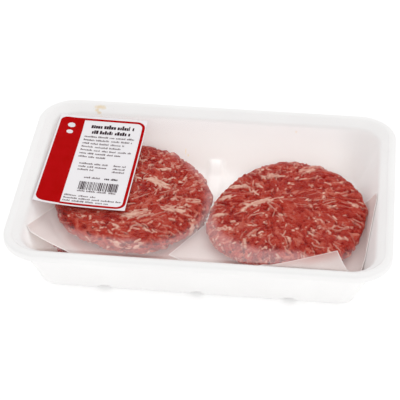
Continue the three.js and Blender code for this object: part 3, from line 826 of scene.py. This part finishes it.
def fold_up(distance, foot):
    """Where flat paper lands: level to the wall's foot, up the wall, then curled back over the meat."""
    wall_angle = math.atan2(1, WALL_LEAN)
    foot_turn = PAPER_FOOT_RADIUS * wall_angle
    start = foot - PAPER_FOOT_RADIUS * math.tan(wall_angle / 2)
    curl_start = start + foot_turn + PAPER_CURL_RISE
    curl_length = PAPER_CURL_RADIUS * (math.pi - wall_angle)
    run = np.arange(0, FOLD_REACH, FOLD_STEP)
    turned = np.minimum(run, foot_turn) / PAPER_FOOT_RADIUS
    curled = np.clip(run - (curl_start - start), 0, curl_length) / PAPER_CURL_RADIUS
    out = np.concatenate(([0], np.cumsum(np.cos(turned + curled) * FOLD_STEP)))[:-1]
    rise = np.concatenate(([0], np.cumsum(np.sin(turned + curled) * FOLD_STEP)))[:-1]
    past = np.maximum(distance - start, 0)
    return np.minimum(distance, start) + np.interp(past, run, out), np.interp(past, run, rise)


def thin_sheet(middle, thickness):
    """A closed thin solid round a grid of points, and its faces."""
    along_u = np.gradient(middle, axis=1)
    along_v = np.gradient(middle, axis=0)
    normal = unit(np.cross(along_u, along_v))
    rows, columns = middle.shape[:2]
    count = rows * columns
    low = (middle - normal * thickness / 2).reshape(-1, 3)
    high = (middle + normal * thickness / 2).reshape(-1, 3)
    faces = [tuple(reversed(face)) for face in grid_faces(rows, columns, closed=False)]
    faces += grid_faces(rows, columns, closed=False, first=count)
    front = list(range(columns))
    right = list(range(2 * columns - 1, count, columns))
    back = list(range(count - 2, count - columns - 1, -1))
    left = list(range(count - 2 * columns, 0, -columns))
    edge = front + right + back + left
    faces += [(a, b, b + count, a + count) for a, b in zip(edge, edge[1:] + edge[:1])]
    return np.concatenate((low, high)), faces


def ripple(x, y, seed):
    """Small uneven waves, about one high."""
    draw = np.random.default_rng(seed)
    total = 0 * x
    for _ in range(RIPPLE_WAVES):
        heading = draw.uniform(0, 2 * math.pi)
        length = draw.uniform(RIPPLE_SHORTEST, RIPPLE_LONGEST)
        run = x * math.cos(heading) + y * math.sin(heading)
        total = total + np.sin(run / length * 2 * math.pi + draw.uniform(0, 6))
    return total / RIPPLE_WAVES


def distance_from_patty(x, y, patty):
    """How far points lie outside a patty's outline, negative over the patty."""
    off_x = (x - patty["centre"][0]) / patty["half"][0]
    off_y = (y - patty["centre"][1]) / patty["half"][1]
    return (np.hypot(off_x, off_y) - 1) * (patty["half"][0] + patty["half"][1]) / 2


def ramp_rise(x, y):
    """How far the left paper's free corner rises outside the upper left patty."""
    outside = distance_from_patty(x, y, LEFT_PATTY)
    return RAMP_SLOPE * np.maximum(outside - RAMP_START, 0) * smooth_step(-RAMP_FROM_X, -RAMP_FULL_X, -x)


def off_corner(x, y, z):
    """Brings places back inside the round corners of the tray's inner wall."""
    below_top = WALL_INNER_TOP_Z - np.minimum(z, WALL_INNER_TOP_Z)
    inset = WALL_INNER_TOP_INSET + below_top * WALL_LEAN + PAPER_WALL_GAP
    radius = np.vectorize(corner_radius)(inset)
    centre_x = TRAY_HALF_X - inset - radius
    centre_y = TRAY_HALF_Y - inset - radius
    past_x = np.abs(x) - centre_x
    past_y = np.abs(y) - centre_y
    in_corner = (past_x > 0) & (past_y > 0)
    share = np.minimum(radius / np.maximum(np.hypot(past_x, past_y), 1e-9), 1)
    near_x = np.sign(x) * (centre_x + past_x * share)
    near_y = np.sign(y) * (centre_y + past_y * share)
    return np.where(in_corner, near_x, x), np.where(in_corner, near_y, y)


def make_paper(name, cad_node, corners, height, seed, patty):
    """A square of paper from its flat corners: left, front, right, back."""
    left, front, right, back = (np.array(corner, float) for corner in corners)
    steps = np.linspace(0, 1, PAPER_STEPS)
    steps[1], steps[-2] = PAPER_EDGE_SHARE, 1 - PAPER_EDGE_SHARE
    u, v = np.meshgrid(steps, steps)
    # The outermost points carry the painted highlight on the cut edge.
    edge = (u == 0) | (u == 1) | (v == 0) | (v == 1)
    u, v = u[..., None], v[..., None]
    flat = (left + (front - left) * u) * (1 - v) + (back + (right - back) * u) * v
    flat_x, flat_y = flat[..., 0], flat[..., 1]
    foot_inset = WALL_INNER_TOP_INSET + (WALL_INNER_TOP_Z - height) * WALL_LEAN + PAPER_WALL_GAP
    out_x, rise_x = fold_up(np.abs(flat_x), TRAY_HALF_X - foot_inset)
    out_y, rise_y = fold_up(np.abs(flat_y), TRAY_HALF_Y - foot_inset)
    x, y = np.sign(flat_x) * out_x, np.sign(flat_y) * out_y
    wave = PAPER_WAVE * (np.sin(flat_x / 9 + seed) + np.sin(flat_y / 7 + 2 * seed))
    outside = distance_from_patty(x, y, patty)
    free = smooth_step(PAPER_FREE_START, PAPER_FREE_FULL, outside)
    wave += free * PAPER_RIPPLE * ripple(flat_x, flat_y, seed)
    z = height + np.maximum(np.maximum(rise_x, rise_y), ramp_rise(x, y)) + wave - droop_at(y)
    z = np.minimum(z, film_height(x, y) - PAPER_FILM_GAP)
    x, y = off_corner(x, y, z)
    points, faces = thin_sheet(np.stack((x, y, z), axis=-1), PAPER_THICKNESS)
    soak = 1 - smooth_step(SOAK_START, SOAK_END, outside + SOAK_UNEVEN * ripple(x, y, seed + 5))
    soak = soak * (1 - SOAK_LOSS * smooth_step(DRY_START_X, DRY_FULL_X, np.abs(x)))
    values = {"soak": np.tile(soak.ravel(), 2), "edge": np.tile(edge.ravel(), 2)}
    piece = add_piece(name, points, faces, greaseproof, values)
    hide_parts(cad_node)
    return piece


def press_under_paper(patty_piece, paper_piece, patty):
    """Lowers the top of a patty where a flap of paper lies over it."""
    paper = BVHTree.FromObject(paper_piece, bpy.context.evaluated_depsgraph_get())
    half_way = (patty["bottom"] + PATTY_THICKNESS / 2) * MM
    for vertex in patty_piece.data.vertices:
        place = vertex.co
        if place.z > half_way and place.y < FLAP_BACK_Y * MM:
            hit = paper.ray_cast(Vector((place.x, place.y, half_way)), Vector((0, 0, 1)))[0]
            if hit is not None:
                place.z = min(place.z, hit.z - FLAP_CLEARANCE * MM)


greaseproof, paper_tree, paper_shader = new_material("greaseproof_paper")
paper_grain = grain(paper_tree, 700.0, 45.0)
paper_dry = colour_steps(paper_tree, paper_grain.outputs["Patches"], ((0.3, PAPER_DULL), (0.7, PAPER_WHITE)))
paper_damp = mix_colour(paper_tree, kept_value(paper_tree, "soak"), paper_dry, PAPER_SOAKED)
fill(paper_shader, {
    # The edge share paints a highlight on the paper's cut edge.
    "Base Color": mix_colour(paper_tree, kept_value(paper_tree, "edge"), paper_damp, PAPER_EDGE_HIGHLIGHT),
    # A faint emission paints light coming through the paper.
    "Roughness": 0.6, "Alpha": 0.88, "Emission Color": PAPER_GLOW, "Emission Strength": 0.08,
    "Normal": bumps(paper_tree, paper_grain.outputs["Height"], 0.0001, 0.5),
})

make_paper("paper_square_left", "paper_left", LEFT_PAPER_CORNERS, LEFT_PAPER_Z, 1, LEFT_PATTY)
right_paper = make_paper(
    "paper_square_right", "paper_right", RIGHT_PAPER_CORNERS, RIGHT_PAPER_Z, 2, RIGHT_PATTY
)
press_under_paper(right_patty, right_paper, RIGHT_PATTY)

# Film
# Clear film drawn tight over the tray and sealed to the flange inside the crest. It lies on the
# meat in the middle and stands a little off it near the edges, where it looks milky: there a painted
# white glow stands in for its reflection of the bright room, less towards the right wall.
FILM_RINGS = 96
FILM_CORNER_STEPS = 16
FILM_LONG_STEPS = 120
FILM_SHORT_STEPS = 80
FILM_FLANGE_INSETS = (6.2, 7.6, 9)
FILM_CREASE = 0.12
CREASE_START, CREASE_FULL = 2, 14
FILM_TINT = (0.86, 0.84, 0.84, 1)
# Painted reflection: the white glow of the film where it stands off the meat.
FILM_HAZE_GLOW = (1, 0.98, 0.97)
GLANCE_POWER = 4.0
GLANCE_SHARE = 0.2
VEIL_CLEAR, VEIL_MILKY = 0.001, 0.05
HAZE_EDGE = 4.5
HAZE_WAVE = 1.6
HAZE_AT_SEAL = 4
# How much less milky veil and painted glow the film has towards the right wall, so that wall stays darker.
HAZE_DIM = 0.55
HAZE_ON_MEAT = 0.06
HAZE_PATCH = 2
FLAP_LEFT_X = 30
FLAP_TOUCH = 2.5
FLAP_HAZE_SHARE = 0.6
# How far inside each patty's outline the film comes down on it: degrees round it, width
LEFT_OFF = (
    (-180, -2), (-134, -5), (-111, -1), (-98, 2), (-85, 2), (-73, -3), (-43, -4), (0, 3), (19, 8),
    (38, 12), (60, 13), (83, 12), (110, 7), (180, -2),
)
RIGHT_OFF = (
    (-180, 3), (-164, 2), (-138, 3), (-125, 5), (-113, 7), (-101, 9), (-90, 10), (-79, 8), (-65, -2),
    (-40, -4), (0, 0), (41, 4), (56, 7), (76, 9), (120, 9), (147, 6), (180, 3),
)


def off_meat(x, y, patty, gaps):
    """1 where the film stands off a patty, in a band inside its outline."""
    outside = distance_from_patty(x, y, patty)
    angle = np.degrees(np.arctan2(y - patty["centre"][1], x - patty["centre"][0]))
    width = np.interp(angle, [a for a, _ in gaps], [w for _, w in gaps])
    uneven = HAZE_WAVE * ripple(x, y, patty["seed"] + 20)
    return smooth_step(-HAZE_EDGE, HAZE_EDGE, outside + width + uneven)


film, film_tree, film_shader = new_material("clear_film")
film_haze = kept_value(film_tree, "haze")
film_edge = node(film_tree, "LayerWeight", {"Blend": 0.5})
film_glance = calculate(film_tree, "POWER", film_edge.outputs["Facing"], GLANCE_POWER)
film_veil = remap(film_tree, film_haze, 0.0, 1.0, VEIL_CLEAR, VEIL_MILKY)
film_creases = node(film_tree, "TexNoise", {"Scale": 60.0, "Detail": 3.0, "Distortion": 1.5})
fill(film_shader, {
    "Base Color": FILM_TINT, "Roughness": 0.14, "Emission Strength": 1,
    # Painted reflection: the film glows white as far as its haze share says.
    "Emission Color": colour_steps(film_tree, film_haze, ((0, (0, 0, 0)), (1, FILM_HAZE_GLOW))),
    "Alpha": calculate(film_tree, "MULTIPLY_ADD", film_glance, GLANCE_SHARE, film_veil),
    "Normal": bumps(film_tree, film_creases.outputs["Fac"], 0.0006, 0.35),
})

film_insets = [FILM_SEAL_INSET, *FILM_FLANGE_INSETS, FLANGE_WIDTH]
film_reach = TRAY_HALF_Y - FLANGE_WIDTH - MIDDLE_GAP
film_insets += [FLANGE_WIDTH + film_reach * step / FILM_RINGS for step in range(1, FILM_RINGS + 1)]
film_rows = []
for inset in film_insets:
    level = ring(inset, FILM_CORNER_STEPS, FILM_LONG_STEPS, FILM_SHORT_STEPS)
    x, y = level.T
    inside = distance_inside(x, y, FLANGE_WIDTH)
    crease = smooth_step(CREASE_START, CREASE_FULL, inside) * (ripple(x, y, 31) - 1)
    film_rows.append(np.column_stack((level, film_height(x, y) + FILM_CREASE * crease)))
film_columns = len(film_rows[0])
film_under = np.concatenate(film_rows)
film_over = film_under + (0, 0, FILM_THICKNESS)
middle_z = float(film_height(0, 0)) - FILM_CREASE
film_middle = [(0, 0, middle_z), (0, 0, middle_z + FILM_THICKNESS)]
film_all = np.concatenate((film_under, film_over, film_middle))
film_count = len(film_under)
film_faces = [tuple(reversed(face)) for face in grid_faces(len(film_rows), film_columns)]
film_faces += grid_faces(len(film_rows), film_columns, first=film_count)
film_faces += fan_faces(2 * film_count, film_count - film_columns, film_columns, flipped=True)
film_faces += fan_faces(2 * film_count + 1, 2 * film_count - film_columns, film_columns)
film_faces += [
    (step, (step + 1) % film_columns, film_count + (step + 1) % film_columns, film_count + step)
    for step in range(film_columns)
]
film_x, film_y = film_all[:, 0], film_all[:, 1]
# Haze share: the film's milky veil and its painted reflection glow, in a band where it stands off the meat.
haze = np.minimum(
    off_meat(film_x, film_y, LEFT_PATTY, LEFT_OFF),
    off_meat(film_x, film_y, RIGHT_PATTY, RIGHT_OFF),
)
uneven = ripple(film_x / HAZE_PATCH, film_y / HAZE_PATCH, 47)
haze = np.maximum(haze, HAZE_ON_MEAT * smooth_step(-0.25, 0.45, uneven))
haze *= smooth_step(0, HAZE_AT_SEAL, distance_inside(film_x, film_y, FLANGE_WIDTH))
haze *= 1 - HAZE_DIM * smooth_step(DIM_START_X, DIM_FULL_X, film_x)
paper_below = BVHTree.FromObject(right_paper, bpy.context.evaluated_depsgraph_get())
for index, point in enumerate(film_all):
    if haze[index] > 0 and point[0] > FLAP_LEFT_X and point[1] < FLAP_BACK_Y:
        drop = paper_below.ray_cast(Vector(point * MM), Vector((0, 0, -1)))[3]
        if drop is not None and drop < FLAP_TOUCH * MM:
            haze[index] *= FLAP_HAZE_SHARE
film_piece = add_piece("film", film_all, film_faces, film, {"haze": haze})
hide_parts("lid_film")

# Label
# A white paper label stuck on the film over the left patty. Its print is a red band with two pale
# dots, a thin red frame, rows of small dark and grey blocks, and a row of upright bars.
LABEL_WIDTH = 60
LABEL_HEIGHT = 97.6
LABEL_THICKNESS = 0.25
LABEL_CENTRE_X = -79
LABEL_CENTRE_Y = 22
LABEL_TURN = math.radians(-1.3)
LABEL_GAP = 0.3
LABEL_COLUMNS, LABEL_ROWS = 41, 65
PRINT_THICKNESS = 0.04
PRINT_LIFT = LABEL_THICKNESS + 0.06
DOT_LIFT = LABEL_THICKNESS + 0.12
PRINT_STEP = 5
BAND_LEFT = 1.1
BAND_RIGHT = 17.3
BAND_LOW = 1.5
BAND_HIGH = LABEL_HEIGHT - 2
BAND_STEP = 0.5
FRAME_WIDTH = 1.9
FRAME_RADIUS = 5
FRAME_RIGHT = LABEL_WIDTH - 1.6
FRAME_TOP = BAND_HIGH - FRAME_WIDTH / 2
FRAME_LOW = BAND_LOW + FRAME_WIDTH / 2 - 0.4
# Dots: across, up, radius
DOTS = ((9.2, 87.5, 2.6), (9.2, 79.8, 2.2))
# Rows of blocks: left end, right end, foot, height
HEADING_ROWS = ((22.9, 52.2, 86.2, 4.1), (24.2, 50.5, 80.4, 3.6))
DARK_ROW = (41.4, 50.4, 30.6, 2)
BARS_LEFT, BARS_RIGHT = 26, 51.5
BARS_LOW, BARS_HIGH = 18.2, 27
ROW_HEIGHT = 1.75
FOOT_ROW_HEIGHT = 1.55
LABEL_WHITES = ((0.3, (0.88, 0.85, 0.875)), (0.7, (0.92, 0.895, 0.915)))


def on_label(across, up, lift):
    """Places points of the label, measured from its lower left corner, on the film."""
    from_middle = across - LABEL_WIDTH / 2
    above_middle = up - LABEL_HEIGHT / 2
    x = LABEL_CENTRE_X + from_middle * math.cos(LABEL_TURN) - above_middle * math.sin(LABEL_TURN)
    y = LABEL_CENTRE_Y + from_middle * math.sin(LABEL_TURN) + above_middle * math.cos(LABEL_TURN)
    z = film_height(x, y) + FILM_THICKNESS + LABEL_GAP + lift
    return np.stack((x, y, z), axis=-1)


class Print:
    """Thin blocks of one ink, gathered into one piece."""

    def __init__(self):
        self.points = []
        self.faces = []
        self.count = 0

    def strip(self, left, right, low, high, step=PRINT_STEP):
        """A block between two edges, each given at the same heights up the label."""
        heights = np.linspace(low, high, max(2, int(abs(high - low) / step) + 2))
        left, right = left(heights), right(heights)
        steps = max(2, int(np.max(np.abs(right - left)) / PRINT_STEP) + 2)
        share = np.linspace(0, 1, steps)[None, :]
        across = left[:, None] * (1 - share) + right[:, None] * share
        self.add(on_label(across, np.repeat(heights[:, None], steps, axis=1), PRINT_LIFT))

    def block(self, left, low, right, high):
        """A rectangle."""
        self.strip(lambda up: left + 0 * up, lambda up: right + 0 * up, low, high)

    def line(self, path, width):
        """A band of one width along a path of (across, up) points."""
        path = np.array(path, float)
        ahead = unit(np.gradient(path, axis=0))
        aside = np.column_stack((-ahead[:, 1], ahead[:, 0])) * width / 2
        across = np.column_stack((path[:, 0] + aside[:, 0], path[:, 0] - aside[:, 0]))
        up = np.column_stack((path[:, 1] + aside[:, 1], path[:, 1] - aside[:, 1]))
        self.add(on_label(across, up, PRINT_LIFT)[:, ::-1])

    def disc(self, across, up, radius):
        """A round dot."""
        share = np.linspace(-0.999, 0.999, 9)
        width = np.sqrt(1 - share ** 2)[:, None]
        sideways = across + radius * width * np.linspace(-1, 1, 5)[None, :]
        heights = np.repeat((up + radius * share)[:, None], 5, axis=1)
        self.add(on_label(sideways, heights, DOT_LIFT))

    def add(self, middle):
        """A thin block round a grid of points."""
        points, faces = thin_sheet(middle, PRINT_THICKNESS)
        self.points.append(points)
        self.faces += [tuple(index + self.count for index in face) for face in faces]
        self.count += len(points)

    def piece(self, name, material):
        """Makes one piece of all that was gathered."""
        add_piece(name, np.concatenate(self.points), self.faces, material)


def ink(name, colour, roughness, worn):
    """Printing ink on paper, a little uneven."""
    made, tree, shader = new_material(name)
    speckle = grain(tree, 1500.0, 120.0)
    fill(shader, {
        "Base Color": colour_steps(tree, speckle.outputs["Patches"], ((0.3, colour), (0.75, worn))),
        "Roughness": roughness, "Specular IOR Level": 0.02,
    })
    return made


label_stock, label_tree, label_shader = new_material("label_stock")
label_grain = grain(label_tree, 900.0, 30.0)
fill(label_shader, {
    "Base Color": colour_steps(label_tree, label_grain.outputs["Patches"], LABEL_WHITES),
    "Roughness": 0.45, "Normal": bumps(label_tree, label_grain.outputs["Height"], 0.00005, 0.4),
})
red_ink = ink("red_ink", (0.45, 0.0, 0.0), 0.4, (0.5, 0.001, 0.003))
white_ink = ink("white_ink", (0.8, 0.78, 0.8), 0.45, (0.86, 0.84, 0.86))
dark_ink = ink("dark_ink", (0.03, 0.012, 0.02), 0.5, (0.06, 0.03, 0.04))
grey_ink = ink("grey_ink", (0.17, 0.13, 0.14), 0.5, (0.28, 0.24, 0.25))

label_across, label_up = np.meshgrid(
    np.linspace(0, LABEL_WIDTH, LABEL_COLUMNS), np.linspace(0, LABEL_HEIGHT, LABEL_ROWS)
)
label_points, label_faces = thin_sheet(on_label(label_across, label_up, LABEL_THICKNESS / 2), LABEL_THICKNESS)
label_piece = add_piece("paper_label", label_points, label_faces, label_stock)
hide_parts("label")


def band_edge(up):
    """Left edge of the red band, with rounded outer corners."""
    past = np.maximum(np.maximum(BAND_LOW + FRAME_RADIUS - up, up - BAND_HIGH + FRAME_RADIUS), 0)
    return BAND_LEFT + FRAME_RADIUS - np.sqrt(np.maximum(FRAME_RADIUS ** 2 - past ** 2, 0))


def frame_corner(up, turns):
    """Points round a right corner of the frame whose centre lies this far up the label."""
    return [
        (FRAME_RIGHT + FRAME_RADIUS * (math.cos(turn) - 1), up + FRAME_RADIUS * math.sin(turn))
        for turn in np.radians(turns)
    ]


red_print = Print()
red_print.strip(band_edge, lambda up: BAND_RIGHT + 0 * up, BAND_LOW, BAND_HIGH, BAND_STEP)
frame_across = np.linspace(BAND_RIGHT, FRAME_RIGHT - FRAME_RADIUS, 8)
frame_up = np.linspace(FRAME_TOP - FRAME_RADIUS, FRAME_LOW + FRAME_RADIUS, 18)
red_print.line([
    *((across, FRAME_TOP) for across in frame_across),
    *frame_corner(frame_up[0], range(80, -1, -10)),
    *((FRAME_RIGHT, up) for up in frame_up[1:]),
    *frame_corner(frame_up[-1], range(-10, -91, -10)),
    *((across, FRAME_LOW) for across in frame_across[-2::-1]),
], FRAME_WIDTH)
red_print.piece("red_print", red_ink)

white_print = Print()
for dot in DOTS:
    white_print.disc(*dot)
white_print.piece("white_print", white_ink)


def block_row(print_of, draw, left, right, up, height, bold=0):
    """A row of small blocks of uneven height and width, in runs with gaps between."""
    across = left
    while across < right - 1:
        run_end = min(across + draw.uniform(3.5, 9), right)
        while across < run_end - 0.3:
            width = draw.uniform(0.45, 0.95) + 0.6 * bold
            top = up + height * draw.choice((0.65, 0.75, 1))
            print_of.block(across, up, min(across + width, run_end), top)
            across += width + draw.uniform(0.2, 0.35)
        across += 0.9


row_draw = np.random.default_rng(5)
dark_print = Print()
for row in HEADING_ROWS:
    block_row(dark_print, row_draw, *row, bold=1)
block_row(dark_print, row_draw, *DARK_ROW)
bar_across = BARS_LEFT
while bar_across < BARS_RIGHT:
    bar_width = row_draw.choice((0.3, 0.5, 0.75))
    dark_print.block(bar_across, BARS_LOW, bar_across + bar_width, BARS_HIGH)
    bar_across += bar_width + row_draw.choice((0.3, 0.45, 0.7))
dark_print.piece("dark_print", dark_ink)

grey_print = Print()
for row, row_end in enumerate((53.9, 53.4, 48.3, 46.4, 54.1, 47.7, 37.9)):
    block_row(grey_print, row_draw, 20, row_end, 76.2 - 3.8 * row, ROW_HEIGHT)
for row, row_end in enumerate((42, 41, 33)):
    block_row(grey_print, row_draw, 22, row_end, 45.8 - 3.4 * row, ROW_HEIGHT)
    block_row(grey_print, row_draw, 45, 53, 45.8 - 3.4 * row, ROW_HEIGHT)
block_row(grey_print, row_draw, 27.9, 38.3, 30.8, ROW_HEIGHT)
block_row(grey_print, row_draw, 26, 51.7, 16, ROW_HEIGHT)
for row, row_end in enumerate((39.2, 56, 48.2)):
    block_row(grey_print, row_draw, 18.6, row_end, 10.4 - 2.9 * row, FOOT_ROW_HEIGHT)
grey_print.piece("grey_print", grey_ink)
